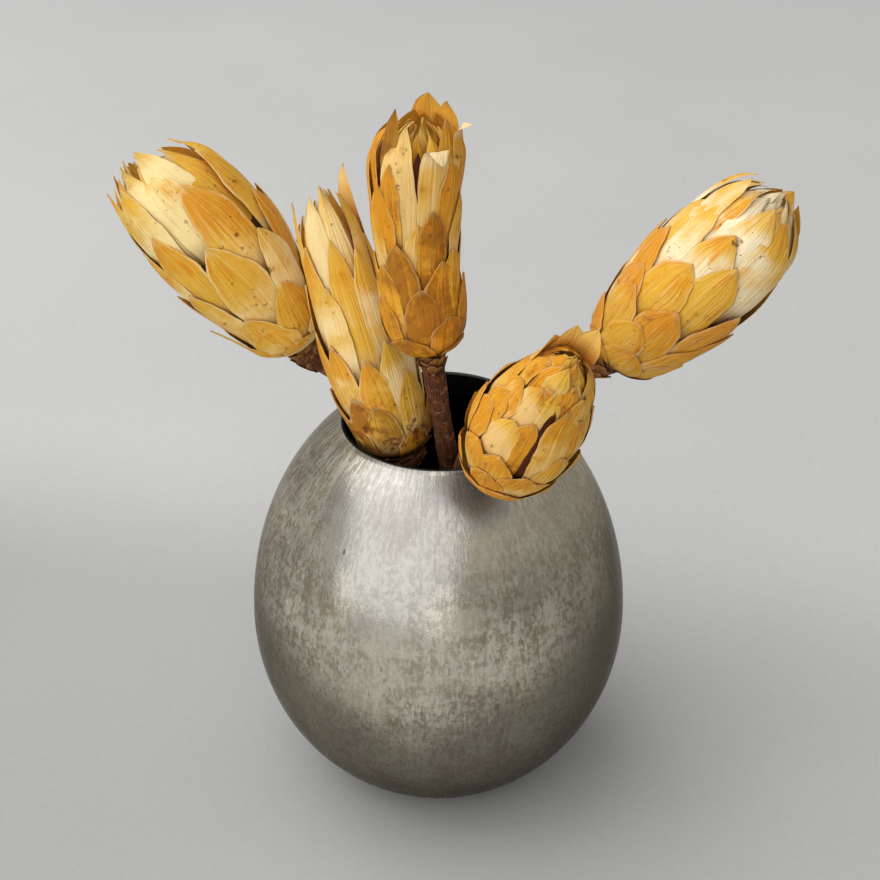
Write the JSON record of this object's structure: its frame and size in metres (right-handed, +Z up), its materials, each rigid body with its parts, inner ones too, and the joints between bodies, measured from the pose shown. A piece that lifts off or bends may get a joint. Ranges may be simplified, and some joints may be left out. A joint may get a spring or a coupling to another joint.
{
  "type": "protea flower",
  "caption": "Dried golden protea flower heads on woody stems, leaning out of an egg-shaped hammered metal vase with a narrow open mouth.",
  "frame": {"origin": "centre of the vase's flat foot, on the table", "axes": "+Z up along the vase's axis, +X to the right and -Y to the front"},
  "size_m": [0.2451, 0.1661, 0.2853],
  "materials": {
    "vase_metal": "satin",
    "bark": "matte",
    "bracts": "matte"
  },
  "bodies": {
    "root": {"vase": "vase_metal", "stem_left": "bark", "stem_tall": "bark", "stem_middle": "bark", "stem_front": "bark", "stem_right": "bark", "head_left": "bracts", "head_tall": "bracts", "head_middle": "bracts", "head_front": "bracts", "head_right": "bracts"}
  },
  "joints": []
}
